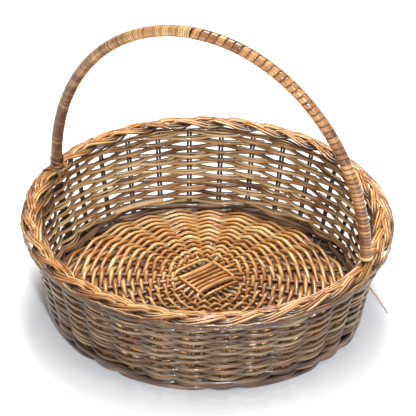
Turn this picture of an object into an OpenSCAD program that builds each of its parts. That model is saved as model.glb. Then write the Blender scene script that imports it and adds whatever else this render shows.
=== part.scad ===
// Round woven market basket: a domed stick-and-rod base, a flaring wall woven round paired
// stakes, a plaited border and one fixed hoop handle wrapped in split cane.
// Millimetres, +Z up, origin at the middle of the underside, handle hoop along X.

/* [Basket] */
// Outer diameter of the plaited border
rim_d = 420; // [320:5:560]
// Outer diameter of the foot of the wall
foot_d = 364; // [280:4:500]
// Height of the top of the border
rim_h = 117; // [80:1:160]
// Rise of the middle of the base above its edge
dome_h = 17; // [0:1:30]

/* [Rods] */
// Diameter of a weaving rod
rod_d = 4.2; // [3:0.1:4.8]
// Diameter of a side stake
stake_d = 3.2; // [2.4:0.1:4.5]
// Diameter of a base stick
stick_d = 4.4; // [3:0.1:5.4]
// Clearance between rods that cross
cross_gap = 0.35; // [0.2:0.05:0.8]

/* [Base] */
// Sticks that lie on top in the middle cross
over_count = 6; // [5:1:7]
// Sticks that lie beneath in the middle cross
under_count = 7; // [5:1:7]
// Gap between neighbouring sticks in the cross
stick_gap = 3.2; // [2:0.1:5]
// Turn of the cross about the upright axis, in degrees
cross_turn = 67; // [0:1:90]
// Gap between neighbouring rounds of the base weave
base_gap = 0.8; // [0.5:0.1:2]

/* [Side] */
// Places round the wall where a pair of stakes stands
stake_count = 32; // [24:8:40]
// Gap between neighbouring rounds of the side weave
side_gap = 0.9; // [0.5:0.1:2]
// Heavy rounds at the foot of the wall
upsett_rounds = 3; // [2:1:4]

/* [Border] */
// Width of the plaited border
border_w = 23; // [18:1:30]
// Thickness of the plaited border
border_t = 12; // [11:0.5:16]
// Times that each strand of the plait swings in and out
plait_turns = 10; // [8:2:14]

/* [Handle] */
// Height of the middle of the hoop above its springing
hoop_rise = 238; // [160:2:300]
// Distance that the top of the hoop leans to the front
hoop_lean = 21; // [0:1:40]
// Diameter of the hoop with its wrapping
hoop_d = 13.5; // [13:0.5:18]
// Diameter of the bent rod inside the wrapping
core_d = 10; // [8:0.5:11]
// Diameter of the rod's thinned ends in the wall
leg_d = 8; // [6:0.5:8.5]
// Angle along the hoop where the two wrappings meet
wrap_join = 82; // [40:1:140]

/* [Hidden] */
WILLOW = [0.74, 0.47, 0.20];
BUFF = [0.80, 0.60, 0.33];
DARK = [0.42, 0.26, 0.14];
CANE = [0.62, 0.36, 0.17];
$fn = 32;

// Border
border_r = (rim_d - border_w) / 2;
border_z = rim_h - border_t / 2;
strand_w = border_w / 5;
strand_t = border_t / 3;
plait_swing = (border_w - strand_w) / 2;
plait_lift = (border_t - strand_t) / 2;
strand_steps = 12 * plait_turns;
plait_step = 2 * PI * border_r / strand_steps;

// Handle legs stand upright in the plait, in the gap between its strands
leg_r = border_r - plait_swing / 4;
leg_room = (leg_d + strand_w) / 2 + cross_gap;
leg_swing = max(plait_swing, wave(leg_room, 3 * plait_step) / 0.75);

// Wall: the stakes stand on the line wall_r, and a rod swings side_wave in and out of it
wall_top = rim_h - border_t;
bay = PI * (foot_d - 2 * rod_d) / stake_count;
pair_half = (stake_d + cross_gap) / 2;
wall_tan = (leg_r - (foot_d / 2 - stake_d - rod_d)) / wall_top;
tilt_gap = rod_d / 2 * wall_tan;
side_wave = wave((rod_d + stake_d) / 2 + cross_gap + tilt_gap, bay) / (1 - 2 * pair_half / bay);
leg_wave = wave((rod_d + leg_d) / 2 + cross_gap + tilt_gap, bay);
foot_r = foot_d / 2 - side_wave - rod_d / 2;
side_pitch = rod_d + side_gap;
side_start = upsett_rounds * side_pitch;
lash_t = 1.4;
lash_gap = 0.8;
side_rounds = floor((wall_top - lash_gap - lash_t - side_start + side_gap) / side_pitch);

// Base: the sticks fan out into spokes, and two weavers chase each other round them
spoke_count = 2 * (over_count + under_count);
spoke_step = 360 / spoke_count;
base_r = foot_r - side_wave - rod_d / 2 - cross_gap;
base_pitch = rod_d + base_gap;
base_clear = (rod_d + stick_d) / 2 + cross_gap;
stick_pitch = stick_d + stick_gap;
cross_half = stick_pitch * max(over_count, under_count) / 2;
// The first tie goes where neighbouring spokes stand this many clearances apart
tie_open = 2.29;
tie_r = spoke_count * tie_open * base_clear / (2 * PI);
spoke_points = 6;
foot_lift = 1.2;
edge_z = base_clear + rod_d / 2 + foot_lift;
tie_rounds = 2;
weave_r0 = tie_r + tie_rounds * base_pitch;
weave_r1 = base_r - rod_d / 2;
turn_count = (weave_r1 - weave_r0 - base_pitch) / (2 * base_pitch);
weaver_pairs = 4;
pair_steps = floor(turn_count * spoke_count / weaver_pairs);

// Handle
hoop_z = rim_h + 3;
hoop_steps = 28;
leg_foot_z = 4;
sleeve_gap = 0.35;
lash_w = 5;

// Clearance swing of a rod that passes things a distance step apart at a distance clear
function wave(clear, step) = clear / sqrt(1 - pow(2 * clear / step, 2));

// Radius of the line of the stakes at height z
function wall_r(z) = foot_r + (leg_r - foot_r) * z / wall_top;

// Height of the plane of the spokes at radius r
function spoke_z(r) = edge_z + dome_h * (1 - pow(r / base_r, 2));

function polar(r, a, z) = [r * cos(a), r * sin(a), z];
function unit(v) = v / norm(v);
function ngon(r, n) = [for (i = [0 : n - 1]) r * [cos(360 * (i + 0.5) / n), sin(360 * (i + 0.5) / n)]];
function box_section(w, t) = [[-w / 2, -t / 2], [w / 2, -t / 2], [w / 2, t / 2], [-w / 2, t / 2]];

// Direction of a path at point i
function along(path, i, closed) =
    let (n = len(path))
    closed ? unit(path[(i + 1) % n] - path[(i + n - 1) % n])
           : unit(path[min(i + 1, n - 1)] - path[max(i - 1, 0)]);

// Rings of points: the section set square to the path at each of its points
function rings(path, section, closed, grow) = [
    for (i = [0 : len(path) - 1])
        let (t = along(path, i, closed),
             side = unit(cross(t, [0.001, 0, 1])),
             up = cross(side, t))
        for (p = section) path[i] + grow[i] * (p[0] * side + p[1] * up)
];

// Two triangles between ring i and ring k, for each side of the section
function skin(i, k, n, from) = [
    for (j = [0 : n - 1])
        let (a = from + i * n, b = from + k * n, m = (j + 1) % n)
        each [[a + j, a + m, b + m], [a + j, b + m, b + j]]
];

// A solid bar along a path
module sweep(path, section, closed = false, grow = []) {
    n = len(section);
    count = len(path);
    sizes = len(grow) > 0 ? grow : [for (p = path) 1];
    walls = [for (i = [0 : count - (closed ? 1 : 2)]) each skin(i, (i + 1) % count, n, 0)];
    caps = closed ? [] : [[for (j = [n - 1 : -1 : 0]) j], [for (j = [0 : n - 1]) (count - 1) * n + j]];
    polyhedron(rings(path, section, closed, sizes), concat(walls, caps));
}

// A hollow sleeve along an open path
module sleeve(path, r_in, r_out, n) {
    count = len(path);
    ones = [for (p = path) 1];
    inner_from = count * n;
    outer = [for (i = [0 : count - 2]) each skin(i, i + 1, n, 0)];
    inner = [for (i = [0 : count - 2]) for (f = skin(i, i + 1, n, inner_from)) [f[2], f[1], f[0]]];
    caps = [
        for (j = [0 : n - 1])
            let (m = (j + 1) % n, last = (count - 1) * n)
            each [
                [j, inner_from + j, inner_from + m], [j, inner_from + m, m],
                [last + j, last + m, inner_from + last + m],
                [last + j, inner_from + last + m, inner_from + last + j]
            ]
    ];
    points = concat(rings(path, ngon(r_out, n), false, ones), rings(path, ngon(r_in, n), false, ones));
    polyhedron(points, concat(outer, inner, caps));
}

// One base stick: straight through the cross, then out along its own two spokes
module base_stick(place, count, turn, level) {
    offset_y = (place - (count - 1) / 2) * stick_pitch;
    fan = (place - (count - 1) / 2) * spoke_step;
    run = (base_r - 1 - tie_r) / spoke_points;
    out = [for (j = [0 : spoke_points]) polar(tie_r + run * j, fan, spoke_z(tie_r + run * j))];
    middle = [cross_half, offset_y, spoke_z(cross_half) + level];
    half = concat([middle], out);
    mirrored = [for (i = [len(half) - 1 : -1 : 0]) [-half[i][0], half[i][1], half[i][2]]];
    rotate([0, 0, turn]) sweep(concat(mirrored, half), ngon(stick_d / 2, 6));
}

module over_stick(i) {
    color(BUFF) base_stick(i - 1, over_count, cross_turn, (stick_d + cross_gap) / 2);
}

module under_stick(i) {
    color(WILLOW) base_stick(i - 1, under_count, cross_turn + 90, -(stick_d + cross_gap) / 2);
}

// A round that ties the cross: over one set of sticks and under the other, or the reverse
module cross_tie(i) {
    r = tie_r + (i - 1) * base_pitch;
    sign = i % 2 == 0 ? -1 : 1;
    lift = wave(base_clear, 2 * PI * r / spoke_count) + stick_d / 4;
    half_over = (over_count - 1) / 2;
    path = [
        for (k = [0 : spoke_count - 1])
            let (place = k % (spoke_count / 2),
                 top = place <= 2 * half_over ? sign : -sign)
            polar(r, cross_turn + (k - half_over) * spoke_step, spoke_z(r) + top * lift)
    ];
    color(BUFF) sweep(path, box_section(rod_d, rod_d), closed = true);
}

// One rod of the base weave: over one spoke and under the next along a spiral
module base_weaver(i) {
    pair = floor((i - 1) / 2);
    chase = (i - 1) % 2;
    first = pair * pair_steps + 1;
    path = [
        for (k = [first : first + pair_steps - 1])
            let (r = weave_r0 + base_pitch * (chase + 2 * k / spoke_count),
                 lift = wave(base_clear, 2 * PI * r / spoke_count),
                 top = (k + chase) % 2 == 0 ? 1 : -1,
                 turn = cross_turn + (k - (over_count - 1) / 2) * spoke_step)
            polar(r, turn, spoke_z(r) + top * lift)
    ];
    color(i % 2 == 0 ? WILLOW : BUFF) sweep(path, box_section(rod_d, rod_d));
}

// Swing of a side rod at a stake place, larger where it passes a leg of the handle
function swing(k) = k % (stake_count / 2) == 0 ? leg_wave : side_wave;

// A flat zigzag ring: out is 1 or -1 at each stake place
module zigzag_ring(z, out) {
    mid = wall_r(z + rod_d / 2);
    step = 360 / stake_count;
    corners = [for (k = [0 : stake_count - 1]) polar(mid + out[k] * swing(k), k * step, 0)];
    outer = [for (c = corners) unit(c) * (norm(c) + rod_d / 2)];
    inner = [for (c = corners) unit(c) * (norm(c) - rod_d / 2)];
    points = [for (p = concat(outer, inner)) [p[0], p[1]]];
    outline = [for (k = [0 : stake_count - 1]) k];
    hole = [for (k = [0 : stake_count - 1]) stake_count + k];
    translate([0, 0, z]) linear_extrude(rod_d) polygon(points, paths = [outline, hole]);
}

// Heavy round at the foot: outside three stake places, then inside one
module upsett_round(i) {
    out = [for (k = [0 : stake_count - 1]) (k + i) % 4 == 0 ? -1 : 1];
    color(DARK) zigzag_ring((i - 1) * side_pitch, out);
}

// Round of the wall: outside one stake place and inside the next
module side_round(i) {
    out = [for (k = [0 : stake_count - 1]) (k + i) % 2 == 0 ? 1 : -1];
    color(i % 2 == 0 ? WILLOW : DARK) zigzag_ring(side_start + (i - 1) * side_pitch, out);
}

// One stake of each pair, at every place that a leg of the handle doesn't take
module stake_set(side) {
    foot_z = 1;
    top_z = wall_top - stake_d / 2 * wall_tan;
    rise = top_z - foot_z;
    run = wall_r(top_z) - wall_r(foot_z);
    for (k = [0 : stake_count - 1]) {
        if (k % (stake_count / 2) != 0)
            rotate([0, 0, k * 360 / stake_count])
                translate([wall_r(foot_z), side * pair_half, foot_z])
                    rotate([0, atan(run / rise), 0]) cylinder(h = norm([rise, run]), d = stake_d);
    }
}

module side_stakes() {
    color(DARK) stake_set(1);
}

module bye_stakes() {
    color(WILLOW) stake_set(-1);
}

// Share of the wider swing at angle a: one at a leg of the handle, none two steps away
function leg_share(a) =
    let (off = abs((a + 90) % 180 - 90) * strand_steps / 360)
    off < 2 ? (1 + cos(90 * off)) / 2 : 0;

// One strand of the plait: it swings across the border and passes over and under the others
module border_strand(i) {
    path = [
        for (k = [0 : strand_steps - 1])
            let (a = 360 * k / strand_steps,
                 t = plait_turns * a + 120 * i - 90,
                 extra = (leg_swing - plait_swing) * leg_share(a))
            polar(border_r + extra / 4 + (plait_swing + extra) * sin(t), a,
                  border_z - plait_lift * sin(2 * t))
    ];
    color(i == 2 ? BUFF : WILLOW) sweep(path, box_section(strand_w, strand_t), closed = true);
}

// Point of the hoop at angle t, from the left springing over the top to the right one
function hoop_point(t) = [-leg_r * cos(t), -hoop_lean * sin(t), hoop_z + hoop_rise * sin(t)];

module handle_core() {
    leg = [[wall_r(leg_foot_z), 0, leg_foot_z], [leg_r, 0, wall_top], [leg_r, 0, rim_h]];
    left = [for (p = leg) [-p[0], 0, p[2]]];
    right = [leg[2], leg[1], leg[0]];
    hoop = [for (k = [0 : hoop_steps]) hoop_point(180 * k / hoop_steps)];
    thin = [for (p = leg) leg_d / core_d];
    sizes = concat(thin, [for (p = hoop) 1], thin);
    color(DARK) sweep(concat(left, hoop, right), ngon(core_d / 2, 8), grow = sizes);
}

module handle_wrap(from, to) {
    steps = ceil((to - from) * hoop_steps / 180);
    path = [for (k = [0 : steps]) hoop_point(from + (to - from) * k / steps)];
    sleeve(path, core_d / 2 + sleeve_gap, hoop_d / 2, 8);
}

module handle_wrap_left() {
    color(CANE) handle_wrap(0.5, wrap_join - 0.5);
}

module handle_wrap_right() {
    color(WILLOW) handle_wrap(wrap_join + 0.5, 179.5);
}

// Two turns of cane round the border, one each side of the left leg
module foot_lashing() {
    across = border_w + 2 * lash_gap;
    up = border_t + 2 * lash_gap;
    for (side = [-1, 1]) {
        color(CANE)
            translate([-border_r, side * (hoop_d + lash_w) / 2 + lash_w / 2, border_z])
                rotate([90, 0, 0]) linear_extrude(lash_w) difference() {
                    square([across + 2 * lash_t, up + 2 * lash_t], center = true);
                    square([across, up], center = true);
                }
    }
}

// Flat cane band round the foot of the right end of the wrapping
module foot_band() {
    color(BUFF)
        translate([leg_r, 0, hoop_z + lash_w / 2])
            linear_extrude(lash_w) difference() {
                circle(d = hoop_d + 2 * (lash_gap + lash_t));
                circle(d = hoop_d + 2 * lash_gap);
            }
}

function numbered(name, count) = [for (i = [1 : count]) str(name, "_", i)];

for (i = [1 : over_count])
    over_stick(i);
for (i = [1 : under_count])
    under_stick(i);
for (i = [1 : tie_rounds])
    cross_tie(i);
for (i = [1 : 2 * weaver_pairs])
    base_weaver(i);
for (i = [1 : upsett_rounds])
    upsett_round(i);
side_stakes();
bye_stakes();
for (i = [1 : side_rounds])
    side_round(i);
for (i = [1 : 3])
    border_strand(i);
handle_core();
handle_wrap_left();
handle_wrap_right();
foot_lashing();
foot_band();
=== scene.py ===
"""Looks for the woven market basket: willow rods, a plaited border and a wrapped hoop handle."""
import math

import bpy
import numpy as np
from mathutils import Matrix, Vector


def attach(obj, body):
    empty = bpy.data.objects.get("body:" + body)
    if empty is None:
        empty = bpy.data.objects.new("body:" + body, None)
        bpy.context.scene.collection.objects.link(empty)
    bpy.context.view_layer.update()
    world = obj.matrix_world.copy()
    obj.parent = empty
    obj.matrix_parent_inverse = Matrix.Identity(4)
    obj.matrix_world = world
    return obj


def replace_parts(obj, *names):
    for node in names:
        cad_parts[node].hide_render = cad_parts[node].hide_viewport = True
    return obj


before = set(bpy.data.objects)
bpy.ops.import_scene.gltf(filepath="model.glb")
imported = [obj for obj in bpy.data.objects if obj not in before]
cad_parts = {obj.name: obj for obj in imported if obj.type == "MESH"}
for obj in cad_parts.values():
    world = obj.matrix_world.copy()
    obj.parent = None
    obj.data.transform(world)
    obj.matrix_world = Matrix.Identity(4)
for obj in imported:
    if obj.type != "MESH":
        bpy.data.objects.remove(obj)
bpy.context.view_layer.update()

# Camera: a long lens that looks down at the basket from the front, a little to the right.
# It is aimed slightly above the basket's foot and held with a slight roll.
camera_reach, camera_rise, camera_heading = 3.36, math.radians(35.02), math.radians(-63.58)
camera_aim, camera_roll = math.radians(1.762), math.radians(1.764)
camera_data = bpy.data.cameras.new("camera")
camera_data.lens, camera_data.sensor_width = 252.4, 36.0
camera = bpy.data.objects.new("camera", camera_data)
bpy.context.scene.collection.objects.link(camera)
camera_place = camera_reach * Vector((math.cos(camera_rise) * math.cos(camera_heading),
                                      math.cos(camera_rise) * math.sin(camera_heading),
                                      math.sin(camera_rise)))
camera_tilt = math.pi / 2 - camera_rise + camera_aim
camera.matrix_world = (Matrix.Translation(camera_place)
                       @ Matrix.Rotation(camera_heading + math.pi / 2, 4, "Z")
                       @ Matrix.Rotation(camera_tilt, 4, "X")
                       @ Matrix.Rotation(camera_roll, 4, "Z"))
bpy.context.scene.camera = camera

# Studio: a pale matt floor with painted light on it: a glow that rises a little away from the basket
# and pales the basket's shadow there. Over it soft light: a warm key light high behind on the left,
# a large dim light over the top and a small cool one in front on the right that glints on the
# varnish.
floor_mesh = bpy.data.meshes.new("floor")
floor_half = 9
floor_corners = [(x * floor_half, y * floor_half, 0) for x, y in ((-1, -1), (1, -1), (1, 1), (-1, 1))]
floor_mesh.from_pydata(floor_corners, [], [(0, 1, 2, 3)])
floor = bpy.data.objects.new("floor", floor_mesh)
bpy.context.scene.collection.objects.link(floor)
floor_material = bpy.data.materials.new("pale_floor")
floor_material.use_nodes = True
floor_shader = floor_material.node_tree.nodes["Principled BSDF"]
floor_shader.inputs["Base Color"].default_value = (0.93, 0.93, 0.93, 1)
floor_shader.inputs["Roughness"].default_value = 0.9
floor_shader.inputs["Specular IOR Level"].default_value = 0.1
floor_shader.inputs["Emission Color"].default_value = (1, 1, 1, 1)
floor_nodes, floor_links = floor_material.node_tree.nodes, floor_material.node_tree.links
floor_place = floor_nodes.new("ShaderNodeTexCoord")
floor_reach = floor_nodes.new("ShaderNodeVectorMath")
floor_reach.operation = "LENGTH"
floor_links.new(floor_place.outputs["Object"], floor_reach.inputs[0])
# Painted light: the floor glows from 0.17 m out from the middle, rising to full at 0.24 m.
floor_painted_glow = floor_nodes.new("ShaderNodeMapRange")
floor_links.new(floor_reach.outputs["Value"], floor_painted_glow.inputs["Value"])
for socket, value in (("From Min", 0.17), ("From Max", 0.24), ("To Min", 0.0), ("To Max", 0.15)):
    floor_painted_glow.inputs[socket].default_value = value
floor_links.new(floor_painted_glow.outputs[0], floor_shader.inputs["Emission Strength"])
floor_mesh.materials.append(floor_material)


def area_light(name, place, aim, size, power, colour):
    """A square light at place that faces the point aim; sizes in metres, power in watts."""
    data = bpy.data.lights.new(name, "AREA")
    data.size, data.energy, data.color = size, power, colour
    light = bpy.data.objects.new(name, data)
    bpy.context.scene.collection.objects.link(light)
    light.location = place
    light.rotation_euler = (Vector(aim) - Vector(place)).to_track_quat("-Z", "Y").to_euler()
    return light


area_light("key_light", (-0.6, 1.1, 2.8), (0, 0, 0.05), 1.1, 78, (1.0, 0.96, 0.91))
area_light("top_light", (0.2, 0.1, 3.2), (0, 0, 0), 2.8, 52, (1.0, 0.99, 0.98))
area_light("front_light", (1.5, -1.9, 1.2), (0, 0, 0.05), 0.3, 56, (0.86, 0.91, 1.0))
world = bpy.data.worlds.new("soft_room")
bpy.context.scene.world = world
world.use_nodes = True
world.node_tree.nodes["Background"].inputs["Color"].default_value = (0.95, 0.97, 1.0, 1)
world.node_tree.nodes["Background"].inputs["Strength"].default_value = 0.29
bpy.context.scene.view_settings.view_transform = "Standard"

# Base sticks: thirteen straight willow sticks, six laid over seven in a square cross.
# Each is thickest in the cross, then fans out with its neighbours and thins towards the edge.
# All sizes of the willow, from here to the end, are in millimetres.
mm = 0.001
over_count, under_count, spoke_count = 6, 7, 26
spoke_step = 360 / spoke_count
cross_turn, stick_pitch, cross_half, tie_r, base_r = 67, 6.7, 23.0, 44.07, 167.1
edge_z, dome_h, layer_lift = 7.95, 17, 2.9


def spoke_z(r):
    """Height of the spokes at radius r: a shallow dome, highest in the middle."""
    return edge_z + dome_h * (1 - (r / base_r) ** 2)


def soft_path(points, step, reach):
    """The line through the points, cut into short equal steps and averaged over reach."""
    points = np.asarray(points, float)
    gaps = np.linalg.norm(np.diff(points, axis=0), axis=1)
    at = np.concatenate([[0], np.cumsum(gaps)])
    fine = np.arange(0, at[-1] + 0.5, 1.0)
    line = np.stack([np.interp(fine, at, points[:, i]) for i in range(3)], 1)
    half = int(reach / 2)
    first, last = line[0] - (line[1] - line[0]) * np.arange(half, 0, -1)[:, None], \
        line[-1] + (line[-1] - line[-2]) * np.arange(1, half + 1)[:, None]
    padded = np.concatenate([first, line, last])
    total = np.cumsum(np.concatenate([np.zeros((1, 3)), padded]), axis=0)
    width = 2 * half + 1
    even = (total[width:] - total[:-width]) / width
    return np.concatenate([even[:-1:step], even[-1:]])


def wander(seed, at, size):
    """A slow natural unevenness along a rod: three waves of unrelated length and phase."""
    rng = np.random.default_rng(seed)
    phase, rate = rng.uniform(0, 2 * math.pi, 3), rng.uniform(0.6, 1.4, 3) * (0.013, 0.031, 0.07)
    return size * (np.sin(at[:, None] * rate * 2 * math.pi + phase) * (0.5, 0.3, 0.2)).sum(1)


def rod(path, wide, deep=None, up=(0, 0, 1), closed=False, tone=0.5, shade=0.0, sides=8,
        groove=0.62, under=0.5, over=0.0, flat=False):
    """One rod along a path: its half width and half depth, the way its depth faces, its own
    colour from dark 0 to pale 1, and how dark it is painted: painted shade everywhere (shade),
    painted shade with some gathered varnish along both its sides (groove), painted shade on its back
    (under) and on its face (over). A flat one is a split strip, level across its face with rounded
    edges."""
    n = len(path)
    return dict(path=np.asarray(path, float), wide=np.broadcast_to(wide, n).astype(float),
                deep=np.broadcast_to(wide if deep is None else deep, n).astype(float),
                painted_shade_and_varnish=(groove, under, over), flat=flat,
                up=np.broadcast_to(up, (n, 3)).astype(float), closed=closed, sides=sides,
                tone=np.broadcast_to(tone, n).astype(float),
                shade=np.broadcast_to(shade, n).astype(float))


def rod_parts(one, start):
    """Rings of points set square to the path, an oval in section. An open rod is closed at each
    end by a smaller ring and a middle point, like a rod cut with shears."""
    path, n, m = one["path"], len(one["path"]), one["sides"]
    if one["closed"]:
        ahead = np.roll(path, -1, 0) - np.roll(path, 1, 0)
    else:
        ahead = np.gradient(path, axis=0)
    ahead /= np.linalg.norm(ahead, axis=1, keepdims=True)
    side = np.cross(ahead, one["up"])
    side /= np.linalg.norm(side, axis=1, keepdims=True)
    top = np.cross(side, ahead)
    turn = 2 * np.pi * (np.arange(m) + 0.5) / m
    high = np.sign(np.sin(turn)) * np.abs(np.sin(turn)) ** (0.35 if one["flat"] else 1.0)
    offset = (np.cos(turn)[None, :, None] * side[:, None] * one["wide"][:, None, None]
              + high[None, :, None] * top[:, None] * one["deep"][:, None, None])
    rings = path[:, None] + offset
    run = np.concatenate([[0], np.cumsum(np.linalg.norm(np.diff(path, axis=0), axis=1))])
    grain = np.stack([np.broadcast_to(run[:, None], (n, m)),
                      np.broadcast_to(np.cos(turn) * one["wide"][:, None], (n, m)),
                      np.broadcast_to(np.sin(turn) * one["deep"][:, None], (n, m))], 2)
    groove, under, over = one["painted_shade_and_varnish"]
    # Painted shade, with some gathered varnish in the grooves: along both sides, on the back and on
    # the face.
    painted_shade_and_varnish = (groove * np.abs(np.cos(turn)) ** 3 + under * np.clip(-np.sin(turn), 0, 1)
             + over * np.clip(np.sin(turn), 0, 1))
    shift = start * 0.37 % 911
    points, grains = [rings.reshape(-1, 3)], [grain.reshape(-1, 3) + (shift, 0, 0)]
    tone, cut = [np.repeat(one["tone"], m)], [np.zeros(n * m)]
    shade = [np.clip(one["shade"][:, None] + painted_shade_and_varnish, 0, 0.93).ravel()]
    i = np.arange(n if one["closed"] else n - 1)[:, None] * m
    j = np.arange(m)[None, :]
    k, after = (j + 1) % m, (i + m) % (n * m)
    faces = [np.stack(np.broadcast_arrays(i + j, i + k, after + k, after + j), 2).reshape(-1, 4)]
    ends = []
    if not one["closed"]:
        count = n * m
        for at, way in ((0, -1), (n - 1, 1)):
            reach = 0.22 * one["deep"][at] * way * ahead[at]
            points += [path[at] + offset[at] * 0.8 + reach, (path[at] + reach * 1.2)[None]]
            grains += [grain[at] + (shift, 0, 0), np.array([[run[at] + shift, 0, 0]])]
            tone.append(np.full(m + 1, one["tone"][at]))
            shade.append(np.full(m + 1, one["shade"][at]))
            cut.append(np.ones(m + 1))
            ring, small, tip = at * m + j[0], count + j[0], count + m
            turned = (j[0] + 1) % m
            quad = np.stack([ring, small, small[turned], ring[turned]], 1)
            fan = np.stack([small, np.full(m, tip), small[turned]], 1)
            faces.append(quad if way < 0 else quad[:, ::-1])
            ends.append(fan if way < 0 else fan[:, ::-1])
            count += m + 1
    quads = np.concatenate(faces)[:, ::-1] + start
    threes = np.concatenate(ends)[:, ::-1] + start if ends else np.zeros((0, 3), int)
    return (np.concatenate(points), np.concatenate(grains), np.concatenate(tone),
            np.concatenate(shade), np.concatenate(cut), quads, threes)


def rod_piece(name, rods, material):
    """One piece made of rods: their points, faces and the values that the material reads."""
    parts, start = [], 0
    for one in rods:
        part = rod_parts(one, start)
        parts.append(part)
        start += len(part[0])
    points, grain, tone, shade, cut, quads, threes = [np.concatenate(p) for p in zip(*parts)]
    mesh = bpy.data.meshes.new(name)
    mesh.vertices.add(len(points))
    mesh.vertices.foreach_set("co", (points * mm).ravel())
    corners = np.concatenate([quads.ravel(), threes.ravel()])
    sizes = np.concatenate([np.full(len(quads), 4), np.full(len(threes), 3)])
    mesh.loops.add(len(corners))
    mesh.loops.foreach_set("vertex_index", corners.astype(np.int32))
    mesh.polygons.add(len(sizes))
    starts = np.concatenate([[0], np.cumsum(sizes)[:-1]])
    mesh.polygons.foreach_set("loop_start", starts.astype(np.int32))
    mesh.update(calc_edges=True)
    mesh.polygons.foreach_set("use_smooth", np.ones(len(sizes), bool))
    for label, values in (("tone", tone), ("shade", shade), ("cut", cut)):
        layer = mesh.attributes.new(label, "FLOAT", "POINT")
        layer.data.foreach_set("value", values.astype(np.float32))
    grains = mesh.attributes.new("grain", "FLOAT_VECTOR", "POINT")
    grains.data.foreach_set("vector", grain.astype(np.float32).ravel())
    mesh.validate()
    mesh.materials.append(material)
    piece = bpy.data.objects.new(name, mesh)
    bpy.context.scene.collection.objects.link(piece)
    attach(piece, "root")
    return piece


def willow(name, dark, middle, pale, crevice, coat=0.5, roughness=0.36):
    """Varnished willow: a colour from dark to pale chosen by the rod's own tone and by streaks
    along its grain, darker at knots, pale where it is cut, mixed towards the near black crevice
    colour by the rod's painted shade (with some gathered varnish in the grooves), under a clear
    glossy coat."""
    material = bpy.data.materials.new(name)
    material.use_nodes = True
    tree = material.node_tree
    nodes, links = tree.nodes, tree.links
    shader = nodes["Principled BSDF"]

    def attribute(label):
        node = nodes.new("ShaderNodeAttribute")
        node.attribute_name = label
        return node

    def math_node(way, first, second, clamp=False):
        node = nodes.new("ShaderNodeMath")
        node.operation, node.use_clamp = way, clamp
        for socket, value in zip(node.inputs, (first, second)):
            if isinstance(value, (int, float)):
                socket.default_value = value
            else:
                links.new(value, socket)
        return node.outputs[0]

    def noise(scale, detail, stretch):
        place = nodes.new("ShaderNodeVectorMath")
        place.operation = "MULTIPLY"
        links.new(attribute("grain").outputs["Vector"], place.inputs[0])
        place.inputs[1].default_value = stretch
        node = nodes.new("ShaderNodeTexNoise")
        links.new(place.outputs[0], node.inputs["Vector"])
        node.inputs["Scale"].default_value = scale
        node.inputs["Detail"].default_value = detail
        return node.outputs["Fac"]

    streak = noise(1.0, 3.0, (0.05, 1.1, 1.1))
    blotch = noise(1.0, 2.0, (0.028, 0.05, 0.05))
    mark = noise(1.0, 2.0, (0.16, 0.25, 0.25))
    value = math_node("MULTIPLY_ADD", streak, 0.55)
    links.new(attribute("tone").outputs["Fac"], value.node.inputs[2])
    value = math_node("ADD", value, math_node("MULTIPLY", math_node("SUBTRACT", blotch, 0.5), 0.9))
    value = math_node("SUBTRACT", value, 0.275, clamp=True)
    ramp = nodes.new("ShaderNodeValToRGB")
    links.new(value, ramp.inputs["Fac"])
    ramp.color_ramp.elements[0].color = (*dark, 1)
    ramp.color_ramp.elements[1].color = (*pale, 1)
    ramp.color_ramp.elements[0].position = 0.08
    ramp.color_ramp.elements[1].position = 0.95
    ramp.color_ramp.elements.new(0.48).color = (*middle, 1)

    def mixed(factor, first, second):
        node = nodes.new("ShaderNodeMix")
        node.data_type = "RGBA"
        for socket, item in ((node.inputs["Factor"], factor), (node.inputs[6], first),
                             (node.inputs[7], second)):
            if isinstance(item, tuple):
                socket.default_value = (*item, 1)
            else:
                links.new(item, socket)
        return node.outputs[2]

    knot = nodes.new("ShaderNodeMapRange")
    links.new(mark, knot.inputs["Value"])
    knot.inputs["From Min"].default_value, knot.inputs["From Max"].default_value = 0.66, 0.78
    colour = mixed(math_node("MULTIPLY", knot.outputs[0], 0.6), ramp.outputs["Color"], crevice)
    colour = mixed(math_node("MULTIPLY", attribute("cut").outputs["Fac"], 0.55), colour, pale)
    # Painted shade: the shade value mixes the colour towards the crevice colour.
    colour = mixed(attribute("shade").outputs["Fac"], colour, crevice)
    links.new(colour, shader.inputs["Base Color"])
    shader.inputs["Roughness"].default_value = roughness
    shader.inputs["Coat Weight"].default_value = coat
    shader.inputs["Coat Roughness"].default_value = 0.10
    shader.inputs["Specular IOR Level"].default_value = 0.5
    bump = nodes.new("ShaderNodeBump")
    bump.inputs["Strength"].default_value = 0.6
    bump.inputs["Distance"].default_value = 0.0008
    links.new(streak, bump.inputs["Height"])
    links.new(bump.outputs["Normal"], shader.inputs["Normal"])
    return material


base_willow = willow("base_willow", (0.19, 0.058, 0.009), (0.62, 0.232, 0.040),
                     (0.98, 0.62, 0.24), (0.016, 0.005, 0.002), coat=0.65)
stick_willow = willow("stick_willow", (0.15, 0.046, 0.008), (0.52, 0.190, 0.036),
                      (0.95, 0.58, 0.23), (0.016, 0.005, 0.002), coat=0.65)


def place_turn(place, count):
    """Angle between a stick's spoke and the middle of its group, in degrees."""
    return (place - (count - 1) / 2) * spoke_step


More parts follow.
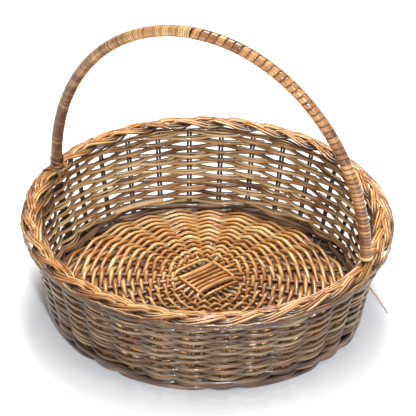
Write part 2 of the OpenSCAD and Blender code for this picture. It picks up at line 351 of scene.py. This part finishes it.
def base_stick(name, place, count, turn, level):
    """A stick that lies straight in the cross, then bends onto its own two spokes."""
    offset = (place - (count - 1) / 2) * stick_pitch
    fan = math.radians(place_turn(place, count))
    cross_size = 3.2 if place in (0, count - 1) else 2.45
    runs = np.linspace(tie_r, base_r - 1, 8)
    half = [(0, offset * 0.94, spoke_z(0) + level), (cross_half, offset, spoke_z(cross_half) + level)]
    half += [(r * math.cos(fan), r * math.sin(fan), spoke_z(r)) for r in runs]
    line = [(-x, y, z) for x, y, z in half[:0:-1]] + half
    path = soft_path(line, 4, 16)
    far = np.linalg.norm(path[:, :2], axis=1)
    size = np.interp(far, (20, 55, 165), (cross_size, 2.3, 1.9))
    seed = place + int(turn)
    size = size + wander(seed, path[:, 0], 0.12)
    c, s = math.cos(math.radians(turn)), math.sin(math.radians(turn))
    path = np.stack([path[:, 0] * c - path[:, 1] * s, path[:, 0] * s + path[:, 1] * c, path[:, 2]], 1)
    tone = 0.5 + wander(seed + 7, far, 0.22) + np.random.default_rng(seed).uniform(-0.12, 0.2)
    # Painted shade: the lower layer is darker in the cross, where the upper sticks lie over it, and
    # the sticks are a little darker out under the weave.
    under = 0.35 if level < 0 else 0.0
    shade = np.interp(far, (0, 30, 45, 165), (under, under * 0.6, 0.15, 0.1))
    piece = rod_piece(name, [rod(path, size, tone=tone, shade=shade)], stick_willow)
    return piece


for i in range(1, over_count + 1):
    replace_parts(base_stick(f"base_stick_over_{i}", i - 1, over_count, cross_turn, layer_lift),
                f"over_stick_{i}")
for i in range(1, under_count + 1):
    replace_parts(base_stick(f"base_stick_under_{i}", i - 1, under_count, cross_turn + 90,
                           -layer_lift), f"under_stick_{i}")

# Cross ties: two rods that bind the square cross before the sticks fan out. The first runs
# tight over the upper sticks and under the lower ones, and the second the other way about.
tie_half, tie_gap, tie_lift = 27.0, 4.6, 5.4


def cross_tie(i):
    """A rounded square round the cross that dips under every second side of it."""
    t = np.radians(np.arange(0, 360, 2.5))
    half = tie_half + tie_gap * (i - 1)
    square = half / (np.abs(np.cos(t)) ** 7 + np.abs(np.sin(t)) ** 7) ** (1 / 7)
    r = square * (1 - 0.045 * i)
    lift = tie_lift * np.tanh(3.5 * np.cos(2 * t)) * (1 if i == 1 else -1)
    a = t + math.radians(cross_turn)
    path = np.stack([r * np.cos(a), r * np.sin(a), spoke_z(r) + lift], 1)
    # Painted shade: darker where the tie dips under the sticks.
    shade = np.clip(0.35 - lift / 12, 0, 0.7)
    tie = rod(path, 2.1, 1.9, closed=True, shade=shade, tone=0.62 + wander(40 + i, t * 40, 0.2))
    return rod_piece(f"tie_rod_{i}", [tie], base_willow)


for i in (1, 2):
    tie = cross_tie(i)
    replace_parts(tie, f"cross_tie_{i}")

# Base weave: long willow rods worked in pairs that chase each other round the spokes, over
# one and under the next. Each new pair starts where the last one ran out.
base_pitch, weaver_steps, steps_per_bay = 5.0, 68, 8
first_lead, pair_lap, rod_reach, edge_ease = 46, 3, 9, 3.6
weave_r0 = tie_r + 2 * base_pitch


def base_weaver(i):
    """A spiral rod that rises over a spoke and dips under the next, thick end first. The first
    pair starts closer in, so that it fills the base right up to the ties. The rounds lie a
    little further apart towards the edge, and every ninth bay starts a rod of its own colour."""
    pair, chase = divmod(i - 1, 2)
    first = pair * weaver_steps + 1 - (first_lead if pair == 0 else pair_lap)
    last = pair * weaver_steps + weaver_steps + 2
    k = np.arange(first * steps_per_bay, last * steps_per_bay + 1) / steps_per_bay
    r = weave_r0 + base_pitch * (chase + 2 * k / spoke_count)
    r = r + edge_ease * (np.maximum(r - weave_r0, 0) / 110) ** 2
    wave = np.cos(np.pi * (k + chase))
    peak = (wave + 0.10 * np.cos(3 * np.pi * (k + chase))) / 1.10
    a = np.radians(cross_turn + (k - (over_count - 1) / 2) * spoke_step)
    part = (k - k[0]) / (k[-1] - k[0])
    size = np.interp(part, (0, 0.5, 1), (2.55, 2.45, 2.15)) + wander(60 + i, k * 12, 0.16)
    inner = np.interp(r, (36, 60, 110), (0.76, 0.92, 1.0))
    size = size * inner
    lift = (2.3 + size * 0.86) * peak
    z = spoke_z(r) + lift + wander(80 + i, k * 16, 0.5)
    r = r + wander(90 + i, k * 15, 1.0)
    path = np.stack([r * np.cos(a), r * np.sin(a), z], 1)
    # Painted shade: darker where the rod dips under a spoke.
    shade = np.clip(0.30 - 0.42 * wave, 0, 0.85)
    one_rod = rod_reach * steps_per_bay
    jump = np.random.default_rng(i).uniform(-0.3, 0.3, len(k) // one_rod + 2)
    tone = 0.6 + np.repeat(jump, one_rod)[:len(k)] * 0.5 + wander(70 + i, k * 9, 0.3)
    weaver = rod(path, size * 1.12, size * 0.84, shade=shade, tone=tone)
    return rod_piece(f"base_rod_{i}", [weaver], base_willow)


for i in range(1, 9):
    weaver = base_weaver(i)
    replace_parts(weaver, f"base_weaver_{i}")

# Foot of the wall: three heavy rods worked as one rope, each outside three pairs of stakes
# and then inside one, with a second rod on the other side of the stakes. Its rods are coloured
# darker than the wall's, and their outer faces get painted shade.
stake_count, foot_r, leg_r, wall_top = 32, 174.74, 196.2, 105.0
side_pitch, foot_z, foot_lift = 5.1, 2.45, 3.2
stake_room, leg_room = 1.75, 1.9
foot_willow = willow("foot_willow", (0.055, 0.024, 0.012), (0.20, 0.092, 0.040),
                     (0.52, 0.30, 0.14), (0.014, 0.007, 0.005), coat=0.7)
wall_willow = willow("wall_willow", (0.16, 0.056, 0.019), (0.56, 0.268, 0.094),
                     (0.92, 0.62, 0.29), (0.022, 0.008, 0.004), coat=0.5, roughness=0.42)
around_steps = 10
back_turn, back_gain = math.radians(116), 3.6


def back_rise(turn, z):
    """Height that the uneven wall gains towards the back, most at the top: 0 at the front."""
    return back_gain * z / wall_top * (0.5 + 0.5 * np.cos(turn - back_turn)) ** 2


def wall_r(z):
    """Radius of the line of the stakes at height z."""
    return foot_r + (leg_r - foot_r) * z / wall_top


def wall_swing(k, size):
    """How far a rod's middle passes from the line of the stakes, more at the handle's legs."""
    apart = stake_count / 2
    leg = np.exp(-((np.mod(k + apart / 2, apart) - apart / 2) / 0.55) ** 2)
    return size * 0.9 + stake_room + leg_room * leg


def wall_rod(seed, z, out, size, first=0.0, last=stake_count, closed=True, tone=0.5,
             outside=0.64):
    """A rod woven round the wall: out gives its side of the stakes at each place from 0 to 31,
    eased from one place to the next. Slow waves make its height and the wall's roundness a
    little uneven. Its outer face is painted darker than its inner face (outside), as painted shade,
    and painted shade darkens it where it passes from one side of the stakes to the other."""
    k = np.arange(first, last + (0 if closed else 1e-6), 1 / around_steps)
    here = np.floor(k).astype(int)
    share = (1 - np.cos(np.pi * (k - here))) / 2
    side = out[here % stake_count] * (1 - share) + out[(here + 1) % stake_count] * share
    ring = 2 * np.pi * k / stake_count
    level = z + 0.6 * np.sin(ring * 3 + seed) + 0.55 * np.sin(ring * 7 + seed * 2.3) \
        + 0.45 * np.sin(ring * 13 + seed * 1.7) + back_rise(ring, z)
    r = wall_r(level) + side * wall_swing(k, size) + 0.8 * np.sin(ring * 2 + 0.7) \
        + 0.4 * np.sin(ring * 5 + 0.35 * seed)
    path = np.stack([r * np.cos(ring), r * np.sin(ring), level], 1)
    # Painted shade: darker where the rod passes between the two sides of the stakes.
    shade = 0.22 * (1 - np.abs(side))
    tones = tone + wander(seed, k * 9, 0.42)
    facing = np.stack([np.cos(ring), np.sin(ring), np.zeros(len(ring))], 1)
    return rod(path, size * 1.24, size * 0.9, up=facing, closed=closed, tone=tones, shade=shade,
               groove=0.92, under=0.0, over=outside)


places = np.arange(stake_count)
for i in range(1, 4):
    out = np.where((places + i) % 4 == 0, -1.0, 1.0)
    z = (i - 1) * side_pitch + foot_z
    heavy = wall_rod(100 + i, z, out, 2.6, tone=0.45, outside=0.3)
    inner = wall_rod(110 + i, z + 1.7, -out, 2.4, tone=0.5, outside=0.3)
    for one in (heavy, inner):
        one["path"][:, 2] = np.maximum(one["path"][:, 2], foot_lift)
    foot = rod_piece(f"foot_rod_{i}", [heavy, inner], foot_willow)
    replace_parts(foot, f"upsett_round_{i}")

# Stakes: thirty pairs of upright willow rods. Each is pushed into the base beside a spoke,
# bent up sharply at the edge and runs up to the border.
stake_willow = willow("stake_willow", (0.09, 0.035, 0.012), (0.34, 0.145, 0.042),
                      (0.70, 0.40, 0.16), (0.014, 0.006, 0.004), coat=0.5)
spoke_gap, bent_r = 3.9, 176


def stake(k, side):
    """A rod beside the nearest spoke in the outer base, then up the wall at its own place."""
    wall_turn = k * 360 / stake_count
    along = (wall_turn - cross_turn) / spoke_step + 0.5
    spoke_turn = cross_turn + (round(along + side * 0.26) - 0.5) * spoke_step
    rng = np.random.default_rng(500 + k * 2 + (side > 0))
    inner = rng.uniform(118, 140)
    radii = np.array([inner, 150, 162, base_r + 1, foot_r + 1.5])
    beside = spoke_turn + side * np.degrees(spoke_gap / radii)
    blend = np.array([0, 0, 0.25, 0.8, 1.0])
    upright = wall_turn + side * np.degrees(stake_room / bent_r)
    turned = beside * (1 - blend) + upright * blend
    low = [(r, a, spoke_z(min(r, base_r)) - 0.4) for r, a in zip(radii, turned)]
    high = [(wall_r(z), wall_turn + side * np.degrees(stake_room / wall_r(z)), z)
            for z in (14, 30, 50, 70, 90, 106)]
    line = [(r * math.cos(math.radians(a)), r * math.sin(math.radians(a)), z)
            for r, a, z in low + high]
    path = soft_path(line, 3, 8)
    size = np.linspace(1.7, 1.4, len(path))
    facing = np.array([math.cos(math.radians(wall_turn)), math.sin(math.radians(wall_turn)), 0.35])
    # Painted shade on the stake: more of it up the wall, where it stands in the weave, and on its
    # inner face (under) and sides (groove); its tone is also set darker up the wall.
    rise = np.clip((path[:, 2] - 8) / 20, 0, 1)
    tone = 0.7 - 0.2 * rise + rng.uniform(-0.1, 0.1)
    return rod(path, size, up=facing, tone=tone, shade=0.32 * rise, sides=7, under=0.5, groove=0.6)


for side, name, node in ((1, "stake_rods", "side_stakes"), (-1, "bye_stake_rods", "bye_stakes")):
    standing = [stake(k, side) for k in range(stake_count) if k % (stake_count // 2)]
    piece = rod_piece(name, standing, stake_willow)
    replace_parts(piece, node)

# Wall: seventeen rounds of single willow rods, outside one pair of stakes and inside the next.
# Short thin rods double a round here and there, more of them low down and near the top. One more
# rod runs under the border, one wide strip is worked in low down, and two ends stick out.
side_start, side_rounds, strip_round, stray_rounds = 15.3, 17, 2, (8, 12)


def stray_end(turn, r, z, far_turn, far_r, far_z, size):
    """A thin rod end that has sprung out of the weave: a slightly bent line that tapers."""
    s = np.linspace(0, 1, 12)
    a = np.radians(turn + (far_turn - turn) * s)
    out_r = r + (far_r - r) * s
    path = np.stack([out_r * np.cos(a), out_r * np.sin(a), z + (far_z - z) * s ** 1.1], 1)
    return rod(path, size * (1 - 0.5 * s), tone=0.5, shade=0.3, sides=6)


end_rng = np.random.default_rng(21)
for i in range(1, side_rounds + 1):
    out = np.where((places + i) % 2 == 0, 1.0, -1.0)
    z = side_start + (i - 1) * side_pitch + 2.1
    size = end_rng.uniform(1.9, 2.2)
    rods = [wall_rod(200 + i, z, out, size, tone=end_rng.uniform(0.4, 0.75))]
    inside = places[out < 0]
    doubled = 5 if i < 8 or i > 13 else 3
    for start in end_rng.choice(inside, doubled, replace=False):
        span = start + 2 * end_rng.integers(1, 4)
        rods.append(wall_rod(250 + i, z + 2.3, out, 1.35, start - 0.38, span + 0.42, closed=False,
                             tone=end_rng.uniform(0.5, 0.9)))
    if i == strip_round:
        rods.append(wall_rod(291, z + 1.5, out * 0 - 1.15, 3.3, 12.0, 13.8, closed=False, tone=0.75))
    if i == side_rounds:
        rods.append(wall_rod(295, z + 4.4, -out, 1.9, tone=0.5))
    if i == stray_rounds[0]:
        rods.append(stray_end(19.8, 185, 40, 16.2, 211, 13, 1.05))
    if i == stray_rounds[1]:
        rods.append(stray_end(23.0, 190, 72, 20.5, 204, 66, 0.8))
    piece = rod_piece(f"wall_rod_{i}", rods, wall_willow)
    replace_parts(piece, f"side_round_{i}")

# Border: a flat plait of three strands, each of three willow rods laid side by side, made from
# the ends of the stakes. More rods lie along its edges beneath, where the strands turn.
border_r, border_z, plait_turns = 198.5, 111.0, 10
rods_in_strand, strand_wide, plait_swing, plait_lift = 3, 9.0, 7.6, 2.7
border_willow = willow("border_willow", (0.19, 0.060, 0.011), (0.62, 0.245, 0.050),
                       (0.98, 0.64, 0.28), (0.020, 0.007, 0.003), coat=0.7)
edge_rods = {1: [(10.6, 109.2), (9.3, 103.4)], 2: [(10.7, 106.2)], 3: [(-9.6, 107.2)]}


def round_the_plait(t, places, values):
    """A shape that repeats with each full swing of a strand, through the values at the places
    given in degrees, with its corners rounded off."""
    line = np.interp(np.degrees(t) % 360, places, values)
    for _ in range(2):
        line = (np.roll(line, 1) + 2 * line + np.roll(line, -1)) / 4
    return line


def border_strand(i):
    """Rods side by side. The strand runs straight in from an edge over the other two, dives
    under them at the middle, comes out quickly at the far edge and runs straight in again. Its
    height follows an arched section, which is highest in the middle of the border."""
    a = np.radians(np.arange(0, 360, 0.6))
    t = plait_turns * a + np.radians(120 * i - 90)
    spread = strand_wide / rods_in_strand
    swing = plait_swing * round_the_plait(t, (0, 34, 50, 74, 180, 214, 230, 254, 360),
                                          (0, 0.84, 1, 0.95, 0, -0.84, -1, -0.95, 0))
    over = round_the_plait(2 * t, (0, 25, 60, 130, 250, 325, 345, 360),
                           (-0.5, -1, -0.9, -0.3, 0.4, 1, 0.5, -0.5))
    slope = np.gradient(swing, a) / border_r
    back = 1 / np.sqrt(1 + slope ** 2)
    rods = []
    for j in range(rods_in_strand):
        seed = 300 + 10 * i + j
        lie = (j - (rods_in_strand - 1) / 2) * spread
        lie = lie * (1 + 0.08 * np.sin(3 * a + seed)) + wander(seed, a * 160, 0.4)
        x = swing + lie * back
        crown = 7.8 * np.sqrt(np.clip(1 - (x / 13.2) ** 2, 0.05, 1)) - 3.6 - 0.6 * x / 12
        z = border_z + crown + plait_lift * over - 1.2 + back_rise(a, wall_top) \
            + wander(seed + 5, a * 140, 0.3)
        turn = a - lie * slope * back / border_r
        path = np.stack([(border_r + x) * np.cos(turn), (border_r + x) * np.sin(turn), z], 1)
        # Painted shade: the strand is darkened where it dives under the other two.
        deep = np.clip(0.16 - 0.85 * over, 0, 0.92)
        tone = np.random.default_rng(seed).uniform(0.35, 0.75) + wander(seed + 9, a * 60, 0.3)
        rods.append(rod(path, spread * 0.54, 1.55, closed=True, tone=tone, shade=deep,
                        groove=0.75))
    for j, (x, z) in enumerate(edge_rods[i]):
        seed = 330 + 10 * i + j
        r = border_r + x + wander(seed, a * 190, 1.1)
        z = z + back_rise(a, wall_top) + wander(seed + 5, a * 210, 1.4)
        path = np.stack([r * np.cos(a), r * np.sin(a), z], 1)
        # Painted shade on the edge rods beneath the strands, and along their sides.
        rods.append(rod(path, 1.6, closed=True, tone=0.5 + wander(seed + 8, a * 90, 0.5),
                        shade=0.3, groove=0.8))
    return rod_piece(f"border_plait_{i}", rods, border_willow)


for i in (1, 2, 3):
    strand = border_strand(i)
    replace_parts(strand, f"border_strand_{i}")

# Handle rod: one thick rod bent into a hoop. Its ends are shaved flat and stand deep in the
# wall, each in the place of a pair of stakes.
hoop_z, hoop_rise, hoop_lean, hoop_full = 120.0, 238.0, 21.0, 3.0


def hoop(t):
    """Middle of the hoop at t degrees, from the left foot over the top to the right foot: half
    an ellipse that leans forwards and is a little fuller on its right side."""
    t = np.radians(t)
    full = hoop_full * np.sin(t) ** 2 * np.clip(-np.cos(t), -0.4, 1)
    return np.stack([-leg_r * np.cos(t) + full, -hoop_lean * np.sin(t),
                     hoop_z + hoop_rise * np.sin(t) + 1.2 * full], -1)


leg_line = [(wall_r(4), 0, 4), (wall_r(wall_top), 0, wall_top), (leg_r, 0, 119)]
line = [(-x, y, z) for x, y, z in leg_line] + [tuple(p) for p in hoop(np.arange(3, 178, 3))] \
    + leg_line[::-1]
path = soft_path(line, 5, 10)
low = np.clip((path[:, 2] - 104) / 14, 0, 1)
core = rod(path, 3.4 + 1.6 * low, 6.2 - 1.2 * low, up=(0, 1, 0), tone=0.1, shade=0.55, sides=12)
handle_core = rod_piece("handle_rod", [core], stake_willow)
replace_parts(handle_core, "handle_core")

# Handle wrapping: split willow wound tightly round the hoop, in fine turns from the left foot
# to past the top and in wide flat strips from there down to the right foot.
fine_cane = willow("fine_cane", (0.15, 0.048, 0.014), (0.62, 0.30, 0.085), (0.92, 0.60, 0.25),
                   (0.035, 0.015, 0.007), coat=0.7)
wrap_join = 85.5
wide_cane = willow("wide_cane", (0.17, 0.056, 0.014), (0.50, 0.210, 0.055), (0.90, 0.58, 0.23),
                   (0.020, 0.008, 0.004), coat=0.65, roughness=0.28)


def run_share(at, t):
    """How far along the wrapping each point lies, from 0 to 1."""
    return (at - t[0]) / (t[-1] - t[0])


def winding(name, first, last, widths, tones, thick, radius, material, seed):
    """A strip wound round the hoop in one long helix. Its turns lie edge to edge, and their
    width and colour change evenly through the values given."""
    t = np.linspace(first, last, 4000)
    line = hoop(t)
    run = np.concatenate([[0], np.cumsum(np.linalg.norm(np.diff(line, axis=0), axis=1))])
    width = np.interp(run / run[-1], np.linspace(0, 1, len(widths)), widths)
    count = np.concatenate([[0], np.cumsum(np.diff(run) / width[1:])])
    around = np.arange(0, count[-1], 1 / 18)
    at = np.interp(around, count, t)
    middle = hoop(at)
    ahead = hoop(at + 0.05) - hoop(at - 0.05)
    ahead /= np.linalg.norm(ahead, axis=1, keepdims=True)
    side = np.cross(ahead, (0, 1, 0))
    side /= np.linalg.norm(side, axis=1, keepdims=True)
    over = np.cross(side, ahead)
    w = 2 * np.pi * around
    facing = np.cos(w)[:, None] * side + np.sin(w)[:, None] * over
    path = middle + facing * (radius + wander(seed, around * 8, 0.12)[:, None])
    turns = int(count[-1]) + 2
    pick = np.random.default_rng(seed).uniform(-0.2, 0.24, turns)
    tone = np.interp(run_share(at, t), np.linspace(0, 1, len(tones)), tones) \
        + np.interp(around, np.arange(turns), pick)
    half = np.interp(at, t, width) * 0.505
    # Painted shade along the edges of each turn, where it meets the next, and on its back.
    strip = rod(path, half, thick / 2, up=facing, tone=tone, sides=10, groove=0.85, under=0.3,
                flat=True)
    return rod_piece(name, [strip], material)


left_wrap = winding("fine_wrapping", 0.6, wrap_join + 0.3, (3.2, 3.0, 2.9),
                    (0.0, 0.06, 0.22, 0.48, 0.64), 1.1, 6.0, fine_cane, 401)
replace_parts(left_wrap, "handle_wrap_left")
right_wrap = winding("wide_wrapping", wrap_join - 0.3, 179.2, (10, 9.5, 8.5, 7, 5, 4.4),
                     (0.36, 0.44, 0.42, 0.34, 0.28, 0.2), 1.2, 6.1, wide_cane, 402)
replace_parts(right_wrap, "handle_wrap_right")

# Left foot lashing: flat cane that ties the hoop's left foot down to the border. Two turns go
# round the border on each side of the leg, two slanted ones cross on the leg, and three dark
# ones are wound round it above them.
cane_x = 2.3


def closed_turn(points, width, facing_from, tone, shade=0.0):
    """A flat strip once round a closed line of points, with its corners eased. The points are
    measured from the middle of the border at the left foot, and it faces away from facing_from."""
    dense = np.array(points + points[:1], float)
    gaps = np.concatenate([[0], np.cumsum(np.linalg.norm(np.diff(dense, axis=0), axis=1))])
    at = np.linspace(0, gaps[-1], 81)[:-1]
    local = np.stack([np.interp(at, gaps, dense[:, n]) for n in range(3)], 1)
    for _ in range(4):
        local = (np.roll(local, 1, 0) + 2 * local + np.roll(local, -1, 0)) / 4
    path = local + (-border_r, 0, border_z)
    # Painted shade along the edges of the strip.
    return rod(path, width / 2, 0.6, up=local - facing_from, closed=True, tone=tone,
               shade=shade, groove=0.8, flat=True)


turns = []
for side in (-1, 1):
    for y in (7.4, 10.2):
        loop = [(11.4, side * y, 0), (10.6, side * y, 4), (6, side * y, 7.0), (0, side * y, 7.8),
                (-6, side * y, 6.4), (-10.4, side * y, 3), (-11.2, side * y, 0),
                (-10.6, side * y, -5), (-5, side * y, -8), (5, side * y, -8), (10.8, side * y, -5)]
        turns.append(closed_turn(loop, 2.9, np.array([[0, side * y, 0]]), 0.4))
    around = np.radians(np.arange(0, 360, 15))
    slanted = [(cane_x + 7.3 * math.cos(w), 7.3 * math.sin(w),
                13.5 + side * 3.6 * math.sin(w) - 2.0 * math.cos(w)) for w in around]
    turns.append(closed_turn(slanted, 3.2, np.array([[cane_x, 0, 13.5]]),
                             0.75 if side > 0 else 0.3))
for z in (11.0, 14.6, 18.4):
    w = np.radians(np.arange(0, 360, 12))
    ring = [(cane_x + 7.2 * math.cos(v), 7.2 * math.sin(v), z + 0.5 * math.sin(v)) for v in w]
    turns.append(closed_turn(ring, 3.7, np.array([[cane_x, 0, z]]), 0.08, 0.5))
lashing = rod_piece("foot_lashing_cane", turns, wide_cane)
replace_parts(lashing, "foot_lashing")

# Right foot band: one pale strip of split willow, tied round the foot of the wide wrapping so
# that its last turn can't work loose.
band_r, band_z = 7.6, 124.5
w = np.radians(np.arange(0, 360, 7.5))
ring = np.stack([leg_r + band_r * np.cos(w), band_r * np.sin(w), band_z + 0.6 * np.sin(w)], 1)
outward = np.stack([np.cos(w), np.sin(w), np.zeros(len(w))], 1)
strip = rod(ring, 2.5, 0.8, up=outward, closed=True, tone=0.85)
band = rod_piece("foot_band_strip", [strip], wide_cane)
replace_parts(band, "foot_band")
